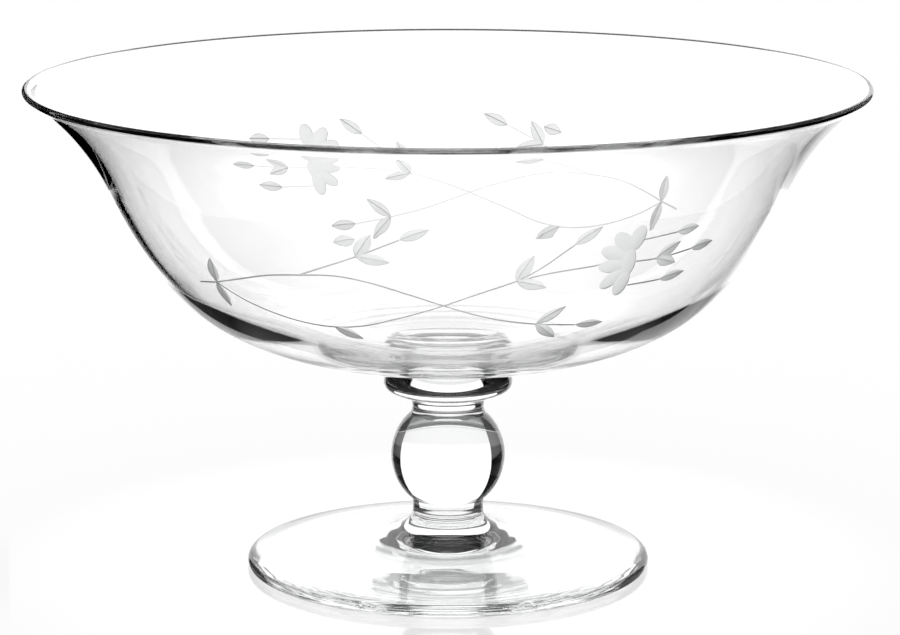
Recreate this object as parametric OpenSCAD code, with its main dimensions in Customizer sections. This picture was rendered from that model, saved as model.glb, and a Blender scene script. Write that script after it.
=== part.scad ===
// Footed trifle bowl in clear blown glass. The pieces are worked hot, one on top of the next:
// a foot, a short wafer, a solid ball knop, a waisted wafer, a thick merese and the flared bowl.
// Every piece is turned about the Z axis. The foot rests on Z = 0 and all lengths are in millimetres.

/* [Bowl] */
// Diameter over the lip
rim_d = 280; // [240:1:320]
// Height of the bowl from its joint with the merese to the top of the lip
bowl_h = 94.3; // [80:0.1:120]
// Thickness of the glass at the middle of the floor
floor_wall = 5.4; // [4.6:0.1:7]
// Thickness of the glass at the heel, where the floor turns up
heel_wall = 3.4; // [3:0.1:5]
// Thickness of the glass up the side
side_wall = 2.6; // [2:0.1:4]
// Thickness of the rounded, fire-polished lip
lip_wall = 2.1; // [1.8:0.1:4.5]

/* [Merese] */
// Diameter of the thick disc under the bowl
merese_d = 43.4; // [41:0.1:54]
// Height of the disc from the wafer to the bowl
merese_h = 13.2; // [10:0.1:18]
// Diameter of the flat joint between the disc and the bowl
seat_d = 34; // [30:0.1:39]

/* [Stem] */
// Diameter of the solid ball
knop_d = 38.6; // [34:0.1:46]
// Diameter of the joints above the ball
upper_neck_d = 25.6; // [20:0.1:28]
// Diameter of the joints below the ball
lower_neck_d = 24.2; // [18:0.1:27]
// Height of the waisted wafer above the ball
upper_wafer_h = 5.2; // [4:0.1:9]
// How far the side of that wafer is drawn in at its waist
upper_waist = 0.7; // [0.3:0.1:1.5]
// Height of the wafer below the ball
lower_wafer_h = 5.3; // [4:0.1:9]
// How far the side of that wafer is drawn in at its waist
lower_waist = 0.2; // [0.1:0.1:0.8]

/* [Foot] */
// Diameter of the foot
foot_d = 136.2; // [116:0.1:160]
// Thickness of the rounded edge
foot_edge = 3.4; // [2.6:0.1:4.4]
// Height of the boss that carries the stem
boss_h = 17; // [15:0.1:22]
// Diameter at which the boss has run out into the plate
flare_d = 46; // [40:0.1:56]
// Height of the plate's upper face there
flare_h = 10.4; // [9.4:0.1:12]
// Width of the flat ring that the foot rests on
rest_ring = 6; // [4:0.1:10]
// How far the underside rises from the ring to its middle
kick = 5.8; // [4.8:0.1:6.4]
// Diameter of the ground and polished pontil mark
pontil_d = 22; // [16:0.1:28]
// Depth of the pontil mark at its middle
pontil_depth = 0.5; // [0.3:0.1:0.9]

/* [Hidden] */
$fn = 144;

// Straight steps on each curved stretch of an outline
curve_steps = 12;

// Clear glass, with the faint grey-green of its thick parts
glass = [0.86, 0.92, 0.91, 0.45];

// Where the bowl's outer face turns between its joint and its lip: shares of the rim's radius
// and of the bowl's height, each with the slope of the wall there in degrees
heel_shares = [0.580, 0.182];
heel_slope = 34;
turn_shares = [0.686, 0.336];
turn_slope = 50.5;
side_shares = [0.802, 0.628];
side_slope = 65.3;
seat_slope = 4.7;
lip_slope = 34;

// Slopes of the merese where it leaves the wafer and where it meets the bowl, and the height of
// its widest line as a share of its own height
merese_spring_slope = 31;
merese_crown_slope = 150;
merese_belly_share = 0.45;

// Slopes of the foot: its upper face at the boss, past the flare and at the edge, then its
// underside where the hollow runs out to the rest ring
boss_slope = -66;
flare_slope = -10;
brim_slope = -8;
kick_slope = -7.5;

// Radii, levels and the slope of the pontil mark's rim, all from the sizes above
rim_r = rim_d / 2;
lip_r = lip_wall / 2;
seat_r = seat_d / 2;
merese_r = merese_d / 2;
knop_r = knop_d / 2;
upper_neck_r = upper_neck_d / 2;
lower_neck_r = lower_neck_d / 2;
flare_r = flare_d / 2;
foot_r = foot_d / 2;
edge_r = foot_edge / 2;
pontil_r = pontil_d / 2;
pontil_slope = -2 * atan(pontil_depth / pontil_r);

knop_below = sqrt(knop_r * knop_r - lower_neck_r * lower_neck_r);
knop_above = sqrt(knop_r * knop_r - upper_neck_r * upper_neck_r);
knop_h = knop_below + knop_above;

lower_wafer_z = boss_h;
knop_z = lower_wafer_z + lower_wafer_h;
upper_wafer_z = knop_z + knop_h;
merese_z = upper_wafer_z + upper_wafer_h;
bowl_z = merese_z + merese_h;

// Unit vector at an angle above the radius, and the unit vector to its left
function along(angle) = [cos(angle), sin(angle)];
function left_of(angle) = [-sin(angle), cos(angle)];

// A true arc about a centre, with both of its ends
function arc(centre, radius, first, last) =
    [for (i = [0:curve_steps])
        centre + radius * along(first + (last - first) * i / curve_steps)];

// A smooth curve between two points that has the given slope at each of them: a cubic whose
// handles are those of an arc. Its last point is left out, so that stretches can be joined.
function curve(start, start_slope, end, end_slope) =
    let (handle = norm(end - start) / (3 * pow(cos((end_slope - start_slope) / 4), 2)),
         leave = start + handle * along(start_slope),
         reach = end - handle * along(end_slope))
    [for (i = [0:curve_steps - 1])
        let (t = i / curve_steps, u = 1 - t)
        u * u * u * start + 3 * u * u * t * leave + 3 * u * t * t * reach + t * t * t * end];

// The same points in the opposite order
function backwards(points) = [for (i = [len(points) - 1:-1:0]) points[i]];

// Half outline of a short piece of stem: flat ends of one radius, and a side drawn in by an arc
function waisted_outline(end_r, height, waist) =
    let (half = height / 2,
         sweep_r = (half * half + waist * waist) / (2 * waist),
         sweep_centre = [end_r - waist + sweep_r, half],
         reach = asin(half / sweep_r))
    concat([[0, 0]], arc(sweep_centre, sweep_r, 180 + reach, 180 - reach), [[0, height]]);

// Turns a half outline, drawn as radius and height, about the Z axis
module turned(outline) {
    rotate_extrude() polygon(outline);
}

// The blown bowl: a thick floor with a flat seat under it, a turned-up heel, a side that thins
// and flares, and a fully rounded lip
module bowl() {
    heel = [rim_r * heel_shares[0], bowl_h * heel_shares[1]];
    turn = [rim_r * turn_shares[0], bowl_h * turn_shares[1]];
    side = [rim_r * side_shares[0], bowl_h * side_shares[1]];
    lip = [rim_r - lip_r, bowl_h - lip_r];
    heel_inside = heel + heel_wall * left_of(heel_slope);
    turn_inside = turn + side_wall * left_of(turn_slope);
    side_inside = side + side_wall * left_of(side_slope);

    outer_face = concat(
        curve([seat_r, 0], seat_slope, heel, heel_slope),
        curve(heel, heel_slope, turn, turn_slope),
        curve(turn, turn_slope, side, side_slope),
        curve(side, side_slope, lip - lip_r * left_of(lip_slope), lip_slope));
    round_lip = arc(lip, lip_r, lip_slope - 90, lip_slope + 90);
    inner_face = concat(
        curve([0, floor_wall], 0, heel_inside, heel_slope),
        curve(heel_inside, heel_slope, turn_inside, turn_slope),
        curve(turn_inside, turn_slope, side_inside, side_slope),
        curve(side_inside, side_slope, lip + lip_r * left_of(lip_slope), lip_slope));

    color(glass)
        translate([0, 0, bowl_z])
            turned(concat([[0, 0]], outer_face, round_lip, backwards(inner_face)));
}

// The merese: a thick button of glass that springs out of the wafer, bellies and closes in again
// under the bowl
module merese() {
    belly = [merese_r, merese_h * merese_belly_share];
    side = concat(
        curve([upper_neck_r, 0], merese_spring_slope, belly, 90),
        curve(belly, 90, [seat_r, merese_h], merese_crown_slope));

    color(glass)
        translate([0, 0, merese_z])
            turned(concat([[0, 0]], side, [[seat_r, merese_h], [0, merese_h]]));
}

// The waisted wafer between the ball and the merese
module upper_wafer() {
    color(glass)
        translate([0, 0, upper_wafer_z])
            turned(waisted_outline(upper_neck_r, upper_wafer_h, upper_waist));
}

// The solid ball, cut flat below and above where the wafers are joined to it
module ball_knop() {
    color(glass)
        translate([0, 0, knop_z])
            intersection() {
                translate([0, 0, knop_below]) sphere(r = knop_r);
                cylinder(r = knop_d, h = knop_h);
            }
}

// The wafer between the foot and the ball
module lower_wafer() {
    color(glass)
        translate([0, 0, lower_wafer_z])
            turned(waisted_outline(lower_neck_r, lower_wafer_h, lower_waist));
}

// The foot: a boss that flares into a thin, low cone with a rounded edge, standing on a flat
// ring round a hollow that follows the cone, with the ground pontil mark at its middle
module foot() {
    ring_inside = [foot_r - edge_r - rest_ring, 0];
    edge = [foot_r - edge_r, edge_r];
    brim = edge + edge_r * left_of(brim_slope);
    flare = [flare_r, flare_h];

    underside = concat(
        curve([0, kick + pontil_depth], 0, [pontil_r, kick], pontil_slope),
        curve([pontil_r, kick], 0, ring_inside, kick_slope),
        [ring_inside]);
    round_edge = arc(edge, edge_r, -90, 90 + brim_slope);
    upper_face = concat(
        curve([lower_neck_r, boss_h], boss_slope, flare, flare_slope),
        curve(flare, flare_slope, brim, brim_slope));

    color(glass)
        turned(concat(underside, round_edge, backwards(upper_face), [[0, boss_h]]));
}

bowl();
merese();
upper_wafer();
ball_knop();
lower_wafer();
foot();
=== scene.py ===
"""Looks of a footed trifle bowl in clear glass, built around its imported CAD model.

Every CAD node is a turned piece. Its half outline is read from the frame, smoothed and turned
again as a finer closed mesh, and the bowl also gets two wheel-cut sprays, one at the front and
one at the back. Lengths are metres and +Z is up, except that the sprays are laid out in
millimetres on the unrolled outer wall.
"""

import math

import bpy
import numpy as np
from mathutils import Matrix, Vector
from mathutils.geometry import delaunay_2d_cdt


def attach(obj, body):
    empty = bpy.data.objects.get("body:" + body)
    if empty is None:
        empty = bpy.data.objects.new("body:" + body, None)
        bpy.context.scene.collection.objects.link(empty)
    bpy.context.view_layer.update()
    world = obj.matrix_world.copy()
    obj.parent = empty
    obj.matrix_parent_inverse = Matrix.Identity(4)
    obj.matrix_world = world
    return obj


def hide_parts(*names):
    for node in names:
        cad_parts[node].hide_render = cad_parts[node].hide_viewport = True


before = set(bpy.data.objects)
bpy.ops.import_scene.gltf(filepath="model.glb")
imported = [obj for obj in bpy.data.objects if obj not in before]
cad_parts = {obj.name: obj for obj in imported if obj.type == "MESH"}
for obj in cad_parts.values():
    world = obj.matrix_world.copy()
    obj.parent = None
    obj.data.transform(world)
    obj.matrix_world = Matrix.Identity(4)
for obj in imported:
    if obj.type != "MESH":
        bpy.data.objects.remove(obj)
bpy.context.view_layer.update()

MM = 0.001
MICRON = 0.000001
TURN = 2 * math.pi

# Camera, fitted to the ellipses of the rim and the foot in the photograph
PHOTO_W = 900
PHOTO_H = 635
FOCAL_PX = 3366.3
AXIS_PX = 448
CAMERA_PLACE = np.array([0, -1.1052, 0.3206])
CAMERA_PITCH = math.radians(12.06)
SENSOR_W = 36.0

# Columns round each piece, and steps between two points of its CAD outline
BOWL_COLUMNS = 288
STEM_COLUMNS = 160
OUTLINE_STEPS = 3

# Columns from the front spray to the one at the back, which isn't quite opposite
BACK_TURN = 141

# What counts as lying on the axis, in the seam's plane or at one level
TOUCHING = 1e-6
PLACE_DECIMALS = 7


# Outlines

def seam_outline(node):
    """The half outline of a turned CAD node as an array of (radius, height), with the solid on
    its left. It is read from what lies in the half plane y = 0, x > 0."""
    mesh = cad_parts[node].data
    seam = {}
    for vertex in mesh.vertices:
        x, y, z = vertex.co
        if abs(y) < TOUCHING and x > -TOUCHING:
            seam[vertex.index] = (round(x, PLACE_DECIMALS), round(z, PLACE_DECIMALS))
    links = {place: set() for place in seam.values()}
    for edge in mesh.edges:
        a, b = (seam.get(i) for i in edge.vertices)
        if a and b and a != b:
            links[a].add(b)
            links[b].add(a)

    lowest = min(z for _, z in links)
    grounded = [place for place in links if place[1] < lowest + TOUCHING]
    on_axis = [place for place in links if place[0] < TOUCHING]
    here = grounded[0] if len(grounded) == 1 else min(on_axis, key=lambda place: place[1])
    walked = [here]
    left = set(links) - {here}
    while left:
        near = links[here] & left or {p for p in left if abs(p[1] - here[1]) < TOUCHING}
        if not near:
            break
        here = min(near, key=lambda place: math.dist(place, here))
        walked.append(here)
        left.discard(here)
    return np.array(walked)


def smooth(t, p, q, m, n):
    """The smooth curve from p to q with the slopes m and n there, at the shares t of its run."""
    return ((2 * t**3 - 3 * t**2 + 1) * p + (t**3 - 2 * t**2 + t) * m
            + (3 * t**2 - 2 * t**3) * q + (t**3 - t**2) * n)


class Outline:
    """A smooth half outline through the points of a CAD outline, by distance along it."""

    def __init__(self, node):
        self.points = seam_outline(node)
        steps = np.linalg.norm(np.diff(self.points, axis=0), axis=1)
        self.marks = np.concatenate([[0], np.cumsum(steps)])
        self.slopes = np.gradient(self.points, self.marks, axis=0, edge_order=2)
        for end in (0, -1):
            if self.points[end, 0] < TOUCHING:
                self.slopes[end, 1] = 0
        parts = [np.linspace(a, b, OUTLINE_STEPS, endpoint=False)
                 for a, b in zip(self.marks, self.marks[1:])]
        self.rows = np.concatenate([*parts, self.marks[-1:]])

    def at(self, distance):
        """Places as (radius, height), outward normals and headings at distances along it."""
        distance = np.asarray(distance, float)
        i = np.searchsorted(self.marks, distance, side="right") - 1
        i = np.clip(i, 0, len(self.marks) - 2)
        span = (self.marks[i + 1] - self.marks[i])[..., None]
        t = (distance - self.marks[i])[..., None] / span
        p, q = self.points[i], self.points[i + 1]
        m, n = self.slopes[i] * span, self.slopes[i + 1] * span
        place = smooth(t, p, q, m, n)
        heading = ((6 * t**2 - 6 * t) * p + (3 * t**2 - 4 * t + 1) * m
                   + (6 * t - 6 * t**2) * q + (3 * t**2 - 2 * t) * n)
        heading /= np.linalg.norm(heading, axis=-1, keepdims=True)
        place = np.clip(place, self.points.min(0), self.points.max(0))
        outward = np.stack([heading[..., 1], -heading[..., 0]], axis=-1)
        return place, outward, heading


def turned(pairs, azimuths):
    """Points or directions given as (outwards, up), turned to their azimuths. Azimuth 0 faces
    the camera, towards -Y, and azimuths grow to the right."""
    across, up = np.moveaxis(np.asarray(pairs, float), -1, 0)
    return np.stack([across * np.sin(azimuths), -across * np.cos(azimuths),
                     up * np.ones_like(azimuths)], axis=-1)


# Meshes

class Shell:
    """Vertices, and faces that each carry a material number and a normal for every corner."""

    def __init__(self):
        self.places = []
        self.faces = []
        self.normals = []
        self.kinds = []
        self.count = 0

    def add_places(self, places):
        """Adds vertices and gives their numbers."""
        self.places.append(np.asarray(places, float).reshape(-1, 3))
        first = self.count
        self.count += len(self.places[-1])
        return np.arange(first, self.count)

    def add_faces(self, faces, normals, kind):
        """Adds faces of one material, each with one normal a corner."""
        self.faces.extend([int(i) for i in face] for face in faces)
        self.normals.extend(np.asarray(normals, float).reshape(-1, 3))
        self.kinds.extend([kind] * len(faces))

    def add_disc(self, ring, centre, normal, kind):
        """Closes a ring of vertices with a flat disc that faces along the normal."""
        hub = self.add_places([centre])[0]
        rim = list(ring) + [ring[0]]
        faces = [(hub, a, b) if normal[2] > 0 else (hub, b, a) for a, b in zip(rim, rim[1:])]
        self.add_faces(faces, [normal] * (3 * len(faces)), kind)

    def make(self, name, materials):
        """The object that the shell describes."""
        mesh = bpy.data.meshes.new(name)
        mesh.from_pydata(np.concatenate(self.places).tolist(), [], self.faces)
        for material in materials:
            mesh.materials.append(material)
        mesh.polygons.foreach_set("material_index", self.kinds)
        mesh.polygons.foreach_set("use_smooth", [True] * len(self.kinds))
        mesh.update()
        mesh.normals_split_custom_set([tuple(normal) for normal in self.normals])
        piece = bpy.data.objects.new(name, mesh)
        bpy.context.scene.collection.objects.link(piece)
        return piece


GLASS, JOINT, CUT = range(3)


def add_turned_skin(shell, outline, columns, in_window=None):
    """Adds an outline turned about the axis, and gives the vertex number of each row and
    column. Faces whose row and column lie in a window are left out."""
    azimuths = np.arange(columns) * TURN / columns
    places, outward, _ = outline.at(outline.rows)
    grid = np.zeros((len(outline.rows), columns), int)
    for row, place in enumerate(places):
        if place[0] < TOUCHING:
            grid[row] = shell.add_places([(0, 0, place[1])])[0]
        else:
            grid[row] = shell.add_places(turned(place, azimuths))
    faces, normals = [], []
    for row in range(len(grid) - 1):
        lower, upper = turned(outward[row], azimuths), turned(outward[row + 1], azimuths)
        for column in range(columns):
            if in_window is not None and in_window[row, column]:
                continue
            after = (column + 1) % columns
            corners = [(row, column, lower), (row, after, lower),
                       (row + 1, after, upper), (row + 1, column, upper)]
            if grid[row, 0] == grid[row, 1]:
                corners.pop(1)
            elif grid[row + 1, 0] == grid[row + 1, 1]:
                corners.pop(2)
            faces.append([grid[r, c] for r, c, _ in corners])
            normals.extend(side[c] for _, c, side in corners)
    shell.add_faces(faces, normals, GLASS)
    return grid


def add_joint_discs(shell, outline, grid):
    """Closes the flat ends, where a piece is fused to its neighbour."""
    for row, up in ((0, -1), (-1, 1)):
        radius, height = outline.points[row]
        if radius > TOUCHING:
            shell.add_disc(grid[row], (0, 0, height), (0, 0, up), JOINT)


# The wheel-cut spray, laid out by places in the photograph

# Widths and depths of the cuts, in millimetres. A leaf deepens by its pitch from its edge inwards.
LEAF_WIDTH = 4.3
BUD_WIDTH = 3.9
PETAL_WIDTH = 5.3
STEM_WIDTH = 0.6
LEAF_PITCH = 0.15
PETAL_DEPTH = 0.3
VEIN_WIDTH = 0.36
VEIN_DEPTH = 0.12
BRINK_WIDTH = 0.2
BRINK_DEPTH = 0.1
STEM_DEPTH = 0.24
BACK_STEM_DEPTH = 0.03

# A leaf is fuller near its base: its half width against an even arch, at the base and lost by the tip
LEAF_FULLNESS = 1.18
LEAF_TAPER = 0.36

# Points along a leaf, round a petal and per stem, and the rings inside a petal
LEAF_POINTS = 15
PETAL_POINTS = 29
PETAL_RING_SHARES = (0.8, 0.55, 0.25)
STEM_STEP = 1.6

LEFT_NODE = (216.8, 282.0)
LEFT_TAIL = (200.7, 281.4)
CROSSING = (443.6, 305.9)
LEAF_NODE = (334.6, 326.8)
TOP_BRANCH = (298.9, 275.0)
TOP_NODE = (355.2, 256.8)
TOP_BUD = (398.9, 240.4)
FLOWER_NODE = (516.0, 281.5)
FLOWER_STALK = (602.0, 264.4)
FLOWER_BUD = (575.0, 245.1)
LOW_NODE = (535.4, 324.0)
LOW_BUD = (575.0, 324.7)

UPPER_STEM_PX = [LEFT_NODE, (243.6, 278.2), (268.0, 275.2), TOP_BRANCH, (338.2, 276.4),
                 (368.6, 282.7), (404.3, 293.4), CROSSING, (470.0, 313.6), (495.8, 319.5),
                 LOW_NODE, LOW_BUD]
LOWER_STEM_PX = [LEFT_NODE, (238.2, 296.0), (270.4, 311.3), (306.0, 322.5), LEAF_NODE,
                 (359.6, 326.4), (395.4, 319.3), CROSSING, (470.0, 297.0), FLOWER_NODE]
OTHER_STEMS_PX = [
    [LEFT_TAIL, LEFT_NODE],
    [TOP_BRANCH, TOP_NODE, TOP_BUD],
    [FLOWER_NODE, (530.0, 274.8), FLOWER_BUD],
    [FLOWER_NODE, (540.0, 275.6), FLOWER_STALK],
    [(645.0, 239.4), (677.5, 231.8)],
    [(636.0, 261.2), (656.0, 258.5), (691.3, 248.2)],
    [(627.0, 285.0), (659.4, 279.2)],
]
LEAVES_PX = [
    (LEFT_NODE, (209.6, 257.7)),
    (LEFT_NODE, (232.0, 306.4)),
    (LEAF_NODE, (364.1, 338.9)),
    (TOP_NODE, (370.4, 234.5)),
    (TOP_NODE, (390.0, 263.0)),
    ((355.0, 239.0), (332.9, 242.5)),
    (FLOWER_NODE, (534.6, 255.4)),
    (FLOWER_NODE, (546.6, 287.6)),
    (LOW_NODE, (566.4, 305.7)),
    (LOW_NODE, (554.4, 337.2)),
    ((656.0, 258.5), (681.0, 240.8)),
    ((656.0, 258.5), (674.9, 262.3)),
]
BUDS_PX = [
    (TOP_BUD, (429.6, 229.6)),
    (FLOWER_BUD, (603.5, 226.2)),
    (LOW_BUD, (602.6, 321.7)),
    ((677.5, 231.8), (699.0, 225.6)),
    ((691.3, 248.2), (712.5, 240.3)),
    ((659.4, 279.2), (684.1, 270.6)),
]
PETALS_PX = [
    ((633.0, 251.0), (643.5, 225.0)),
    ((631.0, 254.0), (618.0, 233.0)),
    ((630.0, 258.0), (602.0, 249.5)),
    ((627.0, 265.0), (598.5, 267.0)),
    ((623.0, 270.0), (600.0, 288.5)),
    ((626.0, 270.0), (615.5, 295.5)),
    ((627.0, 275.0), (629.0, 247.0)),
]


def unit(vector):
    """The vector at length 1, and the unit vector to its left."""
    vector = vector / np.linalg.norm(vector)
    return vector, np.array([-vector[1], vector[0]])


def brink(inside):
    """The short steep drop where a cut begins, by the distance inside its outline."""
    return BRINK_DEPTH * np.clip(inside / BRINK_WIDTH, 0, 1)


class Leaf:
    """A leaf or bud cut with a mitred wheel: two slopes that meet in a vein along the middle."""

    def __init__(self, base, tip, width):
        self.base = base
        self.length = np.linalg.norm(tip - base)
        self.ahead, self.left = unit(tip - base)
        self.half = width / 2

    def half_at(self, share):
        share = np.clip(share, 0, 1)
        return self.half * 4 * share * (1 - share) * (LEAF_FULLNESS - LEAF_TAPER * share)

    def lines(self):
        share = np.linspace(0, 1, LEAF_POINTS)[:, None]
        middle = self.base + share * self.length * self.ahead
        side = self.half_at(share) * self.left
        inner = share[1:-1]
        spine = middle[1:-1]
        drop = (self.half_at(inner) - BRINK_WIDTH) * self.left
        vein = spine[1:-1]
        flank = VEIN_WIDTH / 2 * self.left
        return [middle + side, middle - side, middle, spine + drop, spine - drop,
                vein + flank, vein - flank]

    def depth(self, points):
        offset = points - self.base
        share = offset @ self.ahead / self.length
        aside = np.abs(offset @ self.left)
        inside = self.half_at(share) - aside
        vein = VEIN_DEPTH * np.clip(1 - 2 * aside / VEIN_WIDTH, 0, 1) * (inside > BRINK_WIDTH)
        return LEAF_PITCH * inside + brink(inside) + vein


class Petal:
    """A petal cut with a round wheel: a smooth oval hollow with a clear outline."""

    def __init__(self, base, tip, width):
        self.centre = (base + tip) / 2
        self.ahead, self.left = unit(tip - base)
        self.long = np.linalg.norm(tip - base) / 2
        self.half = width / 2

    def ring(self, share):
        angles = np.linspace(0, TURN, PETAL_POINTS)[:, None]
        return (self.centre + share * self.long * np.cos(angles) * self.ahead
                + share * self.half * np.sin(angles) * self.left)

    def lines(self):
        below_brink = 1 - BRINK_WIDTH / self.half
        return [self.ring(share) for share in (1, below_brink, *PETAL_RING_SHARES)]

    def depth(self, points):
        offset = points - self.centre
        reach = (offset @ self.ahead / self.long) ** 2 + (offset @ self.left / self.half) ** 2
        return PETAL_DEPTH * (1 - reach) + brink((1 - np.sqrt(reach)) * self.half)


class Stem:
    """A stem cut as one thin groove along a smooth line."""

    def __init__(self, points, width, deepest):
        self.deepest = deepest
        marks = np.concatenate([[0], np.cumsum(np.linalg.norm(np.diff(points, axis=0), axis=1))])
        slopes = np.gradient(points, marks, axis=0)
        steps = max(2, round(marks[-1] / STEM_STEP))
        fine = np.linspace(0, marks[-1], steps + 1)
        i = np.clip(np.searchsorted(marks, fine, side="right") - 1, 0, len(marks) - 2)
        span = (marks[i + 1] - marks[i])[:, None]
        t = (fine - marks[i])[:, None] / span
        self.middle = smooth(t, points[i], points[i + 1], slopes[i] * span, slopes[i + 1] * span)
        self.half = width / 2

    def lines(self):
        heading = np.gradient(self.middle, axis=0)
        heading /= np.linalg.norm(heading, axis=1, keepdims=True)
        side = self.half * np.stack([-heading[:, 1], heading[:, 0]], axis=1)
        return [self.middle, self.middle + side, self.middle - side]

    def depth(self, points):
        nearest = np.full(len(points), np.inf)
        for a, b in zip(self.middle, self.middle[1:]):
            run = b - a
            t = np.clip((points - a) @ run / (run @ run), 0, 1)
            nearest = np.minimum(nearest, np.linalg.norm(points - a - t[:, None] * run, axis=1))
        return self.deepest * (1 - nearest / self.half)


def camera_ray(pixel):
    """The direction from the camera through a pixel of the photograph."""
    across = (pixel[0] - AXIS_PX) / FOCAL_PX
    up = (PHOTO_H / 2 - pixel[1]) / FOCAL_PX
    forward = np.array([0, math.cos(CAMERA_PITCH), -math.sin(CAMERA_PITCH)])
    upward = np.array([0, math.sin(CAMERA_PITCH), math.cos(CAMERA_PITCH)])
    return forward + across * np.array([1, 0, 0]) + up * upward


# The radius at which the wall is unrolled, and where along its rays the camera meets the bowl
UNROLL_R = 0.104
NEAREST = 0.9
FURTHEST = 1.3
RAY_POINTS = 4001


class Wall:
    """The bowl's outer wall, unrolled: millimetres across at a middling radius, and millimetres
    up the outline."""

    def __init__(self, outline):
        self.outline = outline
        self.top = int(np.argmax(outline.at(outline.rows)[0][:, 0]))

    def hit(self, pixel):
        """Where the camera sees a pixel of the photograph on the outer wall."""
        rows = self.outline.rows[:self.top]
        walls = self.outline.at(rows)[0]
        steps = np.linspace(NEAREST, FURTHEST, RAY_POINTS)[:, None]
        points = CAMERA_PLACE + steps * camera_ray(pixel)
        radii = np.hypot(points[:, 0], points[:, 1])
        inside = radii < np.interp(points[:, 2], walls[:, 1], walls[:, 0], left=0, right=0)
        x, y, z = points[np.argmax(inside)]
        azimuth = math.atan2(x, -y)
        return np.array([azimuth * UNROLL_R, np.interp(z, walls[:, 1], rows)]) / MM

    def place(self, flat, depth):
        """Points of the wall, sunk by a depth in millimetres, and the three directions there."""
        azimuths = flat[:, 0] * MM / UNROLL_R
        pairs, outward, heading = self.outline.at(flat[:, 1] * MM)
        out = turned(outward, azimuths)
        points = turned(pairs, azimuths) - depth[:, None] * MM * out
        across = np.stack([np.cos(azimuths), np.sin(azimuths), 0 * azimuths], axis=1)
        return points, out, across, turned(heading, azimuths)


def spray_cuts(wall, stem_depth):
    """Every cut of one spray, placed on the unrolled wall."""
    def at(pixels):
        return np.array([wall.hit(pixel) for pixel in pixels])
    stems = [UPPER_STEM_PX, LOWER_STEM_PX, *OTHER_STEMS_PX]
    return ([Stem(at(line), STEM_WIDTH, stem_depth) for line in stems]
            + [Leaf(*at(ends), LEAF_WIDTH) for ends in LEAVES_PX]
            + [Leaf(*at(ends), BUD_WIDTH) for ends in BUDS_PX]
            + [Petal(*at(ends), PETAL_WIDTH) for ends in PETALS_PX])


def depth_of(cuts, points):
    """How deep the deepest cut is at each point, and 0 where the wall is whole."""
    return np.maximum(0, np.max([cut.depth(points) for cut in cuts], axis=0))


# Millimetres: room round the spray, from a drawn line to a free point, to either side where a
# slope is measured, the least depth of a cut, and what counts as one place
WINDOW_MARGIN = 4.0
EDGE_ROOM = 0.35
GRADIENT_STEP = 0.01
CUT_MIN = 0.003
SAME_LINE = 0.001
SAME_POINT = 0.0001

# How far in from its corner a triangle's slope is measured, as a share of the way to its middle
PROBE_SHARE = 0.15


def cut_window(cuts, rows, columns):
    """The window of the wall that holds the cuts, as first and last row and column."""
    points = np.concatenate([line for cut in cuts for line in cut.lines()])
    low, high = points.min(0) - WINDOW_MARGIN, points.max(0) + WINDOW_MARGIN
    pitch = UNROLL_R / MM * TURN / columns
    return (np.searchsorted(rows, low[1] * MM), np.searchsorted(rows, high[1] * MM),
            math.floor(low[0] / pitch), math.ceil(high[0] / pitch), pitch)


def triangulate(cuts, rows, window):
    """The window's triangles on the unrolled wall. Its own border keeps the grid's points."""
    first_row, last_row, first, last, pitch = window
    across = np.arange(first, last + 1) * pitch
    up = rows[first_row:last_row + 1] / MM
    grid = np.stack(np.meshgrid(across, up), axis=-1)
    lines = [line for cut in cuts for line in cut.lines()]
    drawn = np.concatenate(lines)
    inner = grid[1:-1, 1:-1].reshape(-1, 2)
    room = np.min([np.linalg.norm(inner - point, axis=1) for point in drawn], axis=0)
    border = np.concatenate([grid[0, :-1], grid[:-1, -1], grid[-1, :0:-1], grid[:0:-1, 0]])
    points = [*border, *drawn, *inner[room > EDGE_ROOM]]
    edges = [(i, (i + 1) % len(border)) for i in range(len(border))]
    start = len(border)
    for line in lines:
        edges.extend((start + i, start + i + 1) for i in range(len(line) - 1))
        start += len(line)
    points = [Vector(point) for point in points]
    flat, _, faces, *_ = delaunay_2d_cdt(points, edges, [], 0, SAME_POINT)
    return np.array([tuple(p) for p in flat]), np.array(faces)


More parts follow.
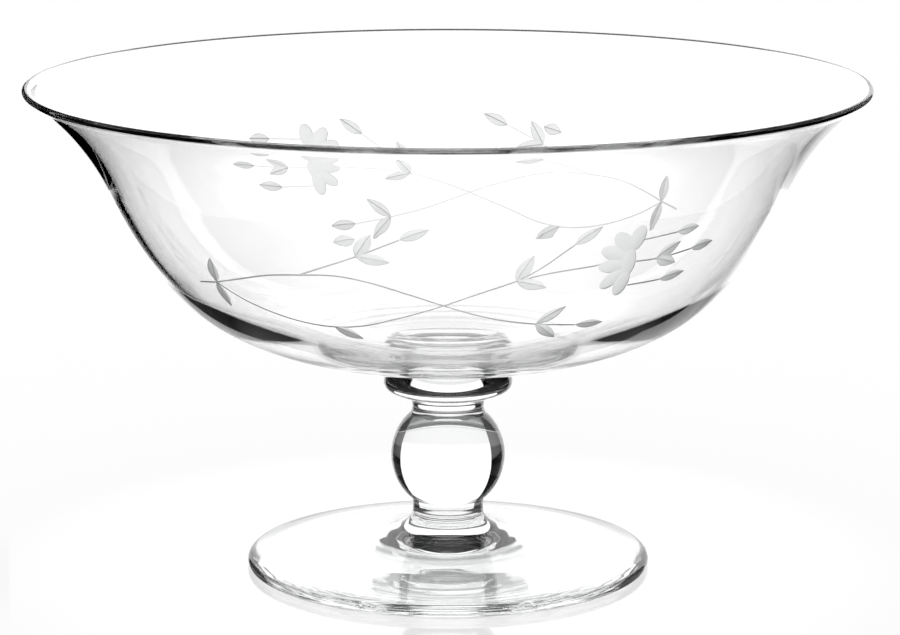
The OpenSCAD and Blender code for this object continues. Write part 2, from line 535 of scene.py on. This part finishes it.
def add_spray(shell, wall, cuts, triangles, grid, window, turn_columns):
    """Adds the window's patch, turned by whole columns, and welds it to the skin's grid."""
    first_row, last_row, first, last, pitch = window
    flat, faces = triangles
    columns = grid.shape[1]
    depth = depth_of(cuts, flat)
    rows = wall.outline.rows / MM
    row = np.abs(rows[None, first_row:last_row + 1] - flat[:, 1:]).argmin(1) + first_row
    column = np.rint(flat[:, 0] / pitch).astype(int)
    on_border = (((row == first_row) | (row == last_row) | (column == first) | (column == last))
                 & (np.abs(rows[row] - flat[:, 1]) < SAME_LINE)
                 & (np.abs(column * pitch - flat[:, 0]) < SAME_LINE))
    turn = np.array([turn_columns * pitch, 0])
    points, _, _, _ = wall.place(flat + turn, depth)
    numbers = np.where(on_border, grid[row, (column + turn_columns) % columns], -1)
    numbers[~on_border] = shell.add_places(points[~on_border])

    centres = flat[faces].mean(1)
    is_cut = depth_of(cuts, centres) > CUT_MIN
    corners = flat[faces].reshape(-1, 2)
    _, out, across, up = wall.place(corners + turn, np.zeros(len(corners)))
    probes = corners + PROBE_SHARE * (np.repeat(centres, 3, axis=0) - corners)
    step_x, step_y = np.array([GRADIENT_STEP, 0]), np.array([0, GRADIENT_STEP])
    slope_x = depth_of(cuts, probes + step_x) - depth_of(cuts, probes - step_x)
    slope_y = depth_of(cuts, probes + step_y) - depth_of(cuts, probes - step_y)
    tilt = (slope_x[:, None] * across + slope_y[:, None] * up) / (2 * GRADIENT_STEP)
    normals = out + tilt * np.repeat(is_cut, 3)[:, None]
    normals /= np.linalg.norm(normals, axis=1, keepdims=True)
    normals = normals.reshape(-1, 3, 3)
    shell.add_faces(numbers[faces[~is_cut]], normals[~is_cut], GLASS)
    shell.add_faces(numbers[faces[is_cut]], normals[is_cut], CUT)


def make_bowl(materials):
    """The bowl with its two sprays."""
    outline = Outline("bowl")
    wall = Wall(outline)
    cuts = spray_cuts(wall, STEM_DEPTH)
    window = cut_window(cuts, outline.rows, BOWL_COLUMNS)
    first_row, last_row, first, last, _ = window
    in_window = np.zeros((len(outline.rows), BOWL_COLUMNS), bool)
    sprays = {0: cuts, BACK_TURN: spray_cuts(wall, BACK_STEM_DEPTH)}
    for turn_columns in sprays:
        spread = np.arange(first, last) + turn_columns
        in_window[first_row:last_row, spread % BOWL_COLUMNS] = True
    shell = Shell()
    grid = add_turned_skin(shell, outline, BOWL_COLUMNS, in_window)
    add_joint_discs(shell, outline, grid)
    triangles = triangulate(cuts, outline.rows, window)
    for turn_columns, its_cuts in sprays.items():
        add_spray(shell, wall, its_cuts, triangles, grid, window, turn_columns)
    return shell.make("glass_bowl", materials)


def make_stem_piece(node, materials):
    """A turned piece below the bowl."""
    outline = Outline(node)
    shell = Shell()
    grid = add_turned_skin(shell, outline, STEM_COLUMNS)
    add_joint_discs(shell, outline, grid)
    return shell.make("glass_" + node, materials)


# Materials

GLASS_IOR = 1.5

# Turning marks: how close they lie, how much they wander, and the heights where they fade out
RING_SCALE = 60.0
RING_WANDER = 2.5
RING_WANDER_SCALE = 0.4
RINGS_FADE = (0.074, 0.086)

# The matt surface of the cuts
CUT_TINT = (0.88, 0.89, 0.89)
CUT_CLARITY = 0.82
CUT_ROUGHNESS = (0.42, 0.62)
CUT_GRAIN_SCALE = 2600.0
CUT_GRAIN_HEIGHT = 40 * MICRON
CUT_GRAIN_STRENGTH = 0.35


def new_material(name):
    """An empty node material and a function that adds nodes to it."""
    material = bpy.data.materials.new(name)
    material.use_nodes = True
    nodes = material.node_tree.nodes
    nodes.clear()

    def add(kind, **values):
        node = nodes.new("ShaderNode" + kind)
        for key, value in values.items():
            if key in node.inputs:
                node.inputs[key].default_value = value
            else:
                setattr(node, key, value)
        return node
    return material, add


def wire(material, *pairs):
    """Links outputs to inputs, given as (node, socket, node, socket)."""
    for source, out, target, into in pairs:
        material.node_tree.links.new(source.outputs[out], target.inputs[into])


def ramp(add, ends, first, last):
    """A node whose value goes from first to last while what it is given goes between two ends."""
    return add("MapRange", **{"From Min": ends[0], "From Max": ends[1],
                              "To Min": first, "To Max": last})


def clear_glass(name, tint, wave_height, waves_per_metre, ring_height):
    """Clear glass with the faint waves of hot-worked glass in its surface, and with fainter
    rings round the axis from the turning."""
    material, add = new_material(name)
    shader = add("BsdfPrincipled", **{"Base Color": (*tint, 1), "Roughness": 0.0,
                                      "IOR": GLASS_IOR, "Transmission Weight": 1.0})
    place = add("TexCoord")
    scale = add("Mapping", Scale=waves_per_metre)
    waves = add("TexNoise", Scale=1.0, Detail=2.0, Roughness=0.45)
    turning = add("TexWave", wave_type="RINGS", rings_direction="Z", Scale=RING_SCALE,
                  Distortion=RING_WANDER, Detail=2.0, **{"Detail Scale": RING_WANDER_SCALE})
    parts = add("SeparateXYZ")
    low = ramp(add, RINGS_FADE, 1, 0)
    marks = add("Math", operation="MULTIPLY")
    ringed = add("Bump", Strength=1.0, Distance=ring_height)
    bump = add("Bump", Strength=1.0, Distance=wave_height)
    output = add("OutputMaterial")
    wire(material,
         (place, "Object", scale, "Vector"),
         (scale, "Vector", waves, "Vector"),
         (place, "Object", turning, "Vector"),
         (place, "Object", parts, "Vector"),
         (parts, "Z", low, "Value"),
         (turning, "Fac", marks, 0),
         (low, 0, marks, 1),
         (marks, 0, ringed, "Height"),
         (ringed, "Normal", bump, "Normal"),
         (waves, "Fac", bump, "Height"),
         (bump, "Normal", shader, "Normal"),
         (shader, "BSDF", output, "Surface"))
    return material


def cut_glass():
    """The matt grey surface that the cutting wheel leaves."""
    material, add = new_material("wheel_cut_matt")
    shader = add("BsdfPrincipled", **{"Base Color": (*CUT_TINT, 1), "IOR": GLASS_IOR,
                                      "Transmission Weight": CUT_CLARITY})
    place = add("TexCoord")
    grain = add("TexNoise", Scale=CUT_GRAIN_SCALE, Detail=3.0, Roughness=0.6)
    rough = ramp(add, (0, 1), *CUT_ROUGHNESS)
    bump = add("Bump", Strength=CUT_GRAIN_STRENGTH, Distance=CUT_GRAIN_HEIGHT)
    output = add("OutputMaterial")
    wire(material,
         (place, "Object", grain, "Vector"),
         (grain, "Fac", rough, "Value"),
         (rough, "Result", shader, "Roughness"),
         (grain, "Fac", bump, "Height"),
         (bump, "Normal", shader, "Normal"),
         (shader, "BSDF", output, "Surface"))
    return material


def fused_joint():
    """Nothing is seen where two pieces are fused: light goes straight on."""
    material, add = new_material("fused_joint")
    clear = add("BsdfTransparent")
    output = add("OutputMaterial")
    wire(material, (clear, "BSDF", output, "Surface"))
    return material


# Pieces

joint = fused_joint()
bowl_glass = clear_glass("bowl_glass", tint=(0.99, 0.99, 0.99), wave_height=20 * MICRON,
                         waves_per_metre=(9, 9, 60), ring_height=10 * MICRON)
stem_glass = clear_glass("stem_glass", tint=(0.98, 0.985, 0.985), wave_height=10 * MICRON,
                         waves_per_metre=(25, 25, 60), ring_height=2 * MICRON)
foot_glass = clear_glass("foot_glass", tint=(0.98, 0.987, 0.987), wave_height=30 * MICRON,
                         waves_per_metre=(14, 14, 60), ring_height=10 * MICRON)

pieces = {"bowl": (make_bowl([bowl_glass, joint, cut_glass()]), "bowl_glass")}
for node in ("merese", "upper_wafer", "ball_knop", "lower_wafer"):
    pieces[node] = (make_stem_piece(node, [stem_glass, joint]), "stem_glass")
pieces["foot"] = (make_stem_piece("foot", [foot_glass, joint]), "foot_glass")
for node, (piece, slot) in pieces.items():
    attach(piece, "root")
    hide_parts(node)


# Studio: white ground, and a bright panel in a black box that only glass shows

# The ground: how much of it takes shadows, and where its mirror image fades out
GROUND_HALF = 1.2
GROUND_LEVEL = -0.0002
SHADOW_SHARE = 0.12
IMAGE_FADE = (0.1, 0.16)
IMAGE_ROUGHNESS = 0.05

# The board's edges as distances from the axis: of the painted shade under the foot, of the painted
# lit spot, of the bright part, where it glows painted white from above and shows more sheen, and of
# the near part, which half mirrors
BOARD_LEVEL = -0.0001
PAINTED_SHADE_EDGE = (0.062, 0.076)
SPOT_EDGE = (0.115, 0.14)
BRIGHT_EDGE = (0.2, 0.25)
NEAR_EDGE = (0.2, 0.3)

# How much painted light the board glows with there and further off, how much painted shade falls
# under the foot, and how much the near part mirrors
PAINTED_SHADE_SHARE = 0.35
PAINTED_SPOT_LIGHT = 0.2
PAINTED_FAR_LIGHT = 0.015
FAR_BRIGHT = 0.3
NEAR_MIRROR = 0.6

# How it changes with the angle: by Fresnel share towards a low angle, where it mirrors more and glows
# a painted grey, and by how much it is turned away from the eye where it is seen from above, where it
# glows a painted white
LOW_ANGLE = (0.08, 0.2)
STEEP_MIRROR = 0.05
LOW_MIRROR = 0.85
PAINTED_LOW_ANGLE_LIGHT = 0.08
SEEN_FROM_ABOVE = (0.12, 0.24)
BOARD_ROUGHNESS = 0.04
SHEEN = (0.08, 0.08, 0.08, 1)
SHEEN_ROUGHNESS = 0.5

# The panel, the black box and the flags, which stand a little below the table
CARD_FOOT = -0.001
PANEL_BACK = 0.62
PANEL_TOP = 0.6
PANEL_LIGHT = 1.3
BOX_HALF = 1.0
BOX_BACK = 0.63
BOX_TOP = 0.7
LEFT_FLAG = [(-0.152, -0.04), (-0.185, 0.26)]
RIGHT_FLAG = [(0.235, -0.04), (0.25, 0.27)]
FLAG_TOP = 0.5

WHITE = (1, 1, 1, 1)
BLACK = (0, 0, 0, 1)


def flat_card(name, corners, material):
    """A flat four-cornered card of the studio."""
    mesh = bpy.data.meshes.new(name)
    mesh.from_pydata(corners, [], [(0, 1, 2, 3)])
    mesh.materials.append(material)
    card = bpy.data.objects.new(name, mesh)
    bpy.context.scene.collection.objects.link(card)
    return card


def level_card(name, half, height, material):
    """A level square card round the axis that faces up."""
    corners = [(-half, -half, height), (half, -half, height),
               (half, half, height), (-half, half, height)]
    return flat_card(name, corners, material)


def upright_card(name, start, end, top, material):
    """A card that stands between two places on the table and reaches up to a height."""
    corners = [(*start, CARD_FOOT), (*end, CARD_FOOT), (*end, top), (*start, top)]
    return flat_card(name, corners, material)


def seen_through_glass_only(card):
    """Glass shows the card, and it lights and hides nothing else."""
    card.visible_camera = False
    card.visible_diffuse = False
    card.visible_shadow = False


def glowing(name, strength):
    """A plain glowing card."""
    material, add = new_material(name)
    glow = add("Emission", Color=WHITE, Strength=strength)
    output = add("OutputMaterial")
    wire(material, (glow, "Emission", output, "Surface"))
    return material


def floor_material():
    """White ground that keeps the object's soft shadow, and shows it as a mirror image close by."""
    material, add = new_material("white_ground")
    place = add("TexCoord")
    away = add("VectorMath", operation="LENGTH")
    close = ramp(add, IMAGE_FADE, 1, 0)
    slant = add("Fresnel", IOR=GLASS_IOR)
    share = add("Math", operation="MULTIPLY")
    lit = add("Emission", Color=WHITE, Strength=1.0)
    matt = add("BsdfDiffuse", Color=WHITE)
    ground = add("MixShader", Fac=SHADOW_SHARE)
    image = add("BsdfGlossy", Color=WHITE, Roughness=IMAGE_ROUGHNESS)
    both = add("MixShader")
    output = add("OutputMaterial")
    wire(material,
         (place, "Object", away, 0),
         (away, "Value", close, "Value"),
         (close, 0, share, 0),
         (slant, 0, share, 1),
         (lit, 0, ground, 1),
         (matt, 0, ground, 2),
         (share, 0, both, "Fac"),
         (ground, 0, both, 1),
         (image, 0, both, 2),
         (both, 0, output, "Surface"))
    return material


def board_material():
    """A glossy board with painted light. It glows a painted white where it is seen from above and a
    painted lit grey round the foot, with painted shade under it, and a faint painted grey at a low
    angle. It mirrors the panel where it is seen at a low angle, and half mirrors what is near, less
    so in the painted shade under the foot. It is dull black further off, and isn't there from below."""
    material, add = new_material("glossy_board_painted_light")
    place = add("TexCoord")
    away = add("VectorMath", operation="LENGTH")
    slant = add("Fresnel", IOR=GLASS_IOR)
    facing = add("LayerWeight", Blend=0.5)
    # painted white: the board glows white where it is seen from above
    painted_white_from_above = ramp(add, SEEN_FROM_ABOVE, 1, 0)
    mirrored_low = ramp(add, LOW_ANGLE, STEEP_MIRROR, LOW_MIRROR)
    # painted grey glow where the board is seen at a low angle
    painted_low_angle_glow = ramp(add, LOW_ANGLE, 0, PAINTED_LOW_ANGLE_LIGHT)
    # painted shade under the foot: it dims the painted glow and the mirror share there
    painted_foot_shade = ramp(add, PAINTED_SHADE_EDGE, PAINTED_SHADE_SHARE, 1)
    # painted lit grey spot round the foot, fading to a dim painted grey further off
    spot = ramp(add, SPOT_EDGE, PAINTED_SPOT_LIGHT, PAINTED_FAR_LIGHT)
    bright = ramp(add, BRIGHT_EDGE, 1, FAR_BRIGHT)
    near = ramp(add, NEAR_EDGE, NEAR_MIRROR, 0)
    painted_spot_glow = add("Math", operation="MULTIPLY")
    white = add("Math", operation="MULTIPLY")
    painted_spot_and_top_glow = add("Math", operation="MAXIMUM")
    # the strength of the board's painted light
    lit = add("Math", operation="MAXIMUM")
    mirrored_near = add("Math", operation="MULTIPLY")
    share = add("Math", operation="MAXIMUM")
    # the board's painted light: an emission, which no lamp lights
    glow = add("Emission", Color=WHITE)
    unlit = add("Emission", Color=BLACK, Strength=0.0)
    gloss = add("BsdfGlossy", Color=WHITE, Roughness=BOARD_ROUGHNESS)
    sheen = add("BsdfGlossy", Color=SHEEN, Roughness=SHEEN_ROUGHNESS)
    mirror = add("MixShader")
    veil = add("MixShader")
    first = add("AddShader")
    second = add("AddShader")
    side = add("NewGeometry")
    clear = add("BsdfTransparent")
    one_sided = add("MixShader")
    output = add("OutputMaterial")
    wire(material,
         (place, "Object", away, 0),
         (away, "Value", painted_foot_shade, "Value"),
         (away, "Value", spot, "Value"),
         (away, "Value", bright, "Value"),
         (away, "Value", near, "Value"),
         (facing, "Facing", painted_white_from_above, "Value"),
         (slant, 0, mirrored_low, "Value"),
         (slant, 0, painted_low_angle_glow, "Value"),
         (spot, 0, painted_spot_glow, 0),
         (painted_foot_shade, 0, painted_spot_glow, 1),
         (painted_white_from_above, 0, white, 0),
         (bright, 0, white, 1),
         (painted_spot_glow, 0, painted_spot_and_top_glow, 0),
         (white, 0, painted_spot_and_top_glow, 1),
         (painted_spot_and_top_glow, 0, lit, 0),
         (painted_low_angle_glow, 0, lit, 1),
         (lit, 0, glow, "Strength"),
         (near, 0, mirrored_near, 0),
         (painted_foot_shade, 0, mirrored_near, 1),
         (mirrored_low, 0, share, 0),
         (mirrored_near, 0, share, 1),
         (share, 0, mirror, "Fac"),
         (unlit, 0, mirror, 1),
         (gloss, 0, mirror, 2),
         (bright, 0, veil, "Fac"),
         (unlit, 0, veil, 1),
         (sheen, 0, veil, 2),
         (glow, 0, first, 0),
         (mirror, 0, first, 1),
         (first, 0, second, 0),
         (veil, 0, second, 1),
         (side, "Backfacing", one_sided, "Fac"),
         (second, 0, one_sided, 1),
         (clear, 0, one_sided, 2),
         (one_sided, 0, output, "Surface"))
    return material


def make_world():
    """The same white all round, as background and as soft light."""
    world = bpy.data.worlds.new("studio")
    bpy.context.scene.world = world
    world.use_nodes = True
    nodes = world.node_tree.nodes
    nodes.clear()
    white = nodes.new("ShaderNodeBackground")
    white.inputs["Color"].default_value = WHITE
    output = nodes.new("ShaderNodeOutputWorld")
    world.node_tree.links.new(white.outputs[0], output.inputs["Surface"])


scene = bpy.context.scene
make_world()

camera_data = bpy.data.cameras.new("camera")
camera_data.sensor_width = SENSOR_W
camera_data.lens = FOCAL_PX / PHOTO_W * SENSOR_W
camera_data.shift_x = (PHOTO_W / 2 - AXIS_PX) / PHOTO_W
camera = bpy.data.objects.new("camera", camera_data)
camera.location = CAMERA_PLACE
camera.rotation_euler = (math.pi / 2 - CAMERA_PITCH, 0, 0)
scene.collection.objects.link(camera)
scene.camera = camera

# What glass shows stands round the object and turns with the camera
rig = bpy.data.objects.new("studio_rig", None)
scene.collection.objects.link(rig)
follow = rig.constraints.new("COPY_ROTATION")
follow.target = camera
follow.use_x = False
follow.use_y = False

level_card("ground", GROUND_HALF, GROUND_LEVEL, floor_material())
black = glowing("black_velvet", 0.0)
corners = [(-BOX_HALF, -BOX_HALF), (BOX_HALF, -BOX_HALF),
           (BOX_HALF, BOX_BACK), (-BOX_HALF, BOX_BACK)]
cards = [level_card("board", GROUND_HALF, BOARD_LEVEL, board_material()),
         level_card("box_lid", BOX_HALF, BOX_TOP, black),
         upright_card("panel", (-BOX_HALF, PANEL_BACK), (BOX_HALF, PANEL_BACK), PANEL_TOP,
                      glowing("panel_white", PANEL_LIGHT)),
         upright_card("left_flag", *LEFT_FLAG, FLAG_TOP, black),
         upright_card("right_flag", *RIGHT_FLAG, FLAG_TOP, black)]
for number, (start, end) in enumerate(zip(corners, corners[1:] + corners[:1])):
    cards.append(upright_card(f"box_side_{number}", start, end, BOX_TOP, black))
for card in cards:
    card.parent = rig
    seen_through_glass_only(card)

scene.cycles.max_bounces = 64
scene.cycles.transmission_bounces = 48
scene.cycles.glossy_bounces = 26
scene.cycles.transparent_max_bounces = 32
scene.view_settings.view_transform = "Standard"
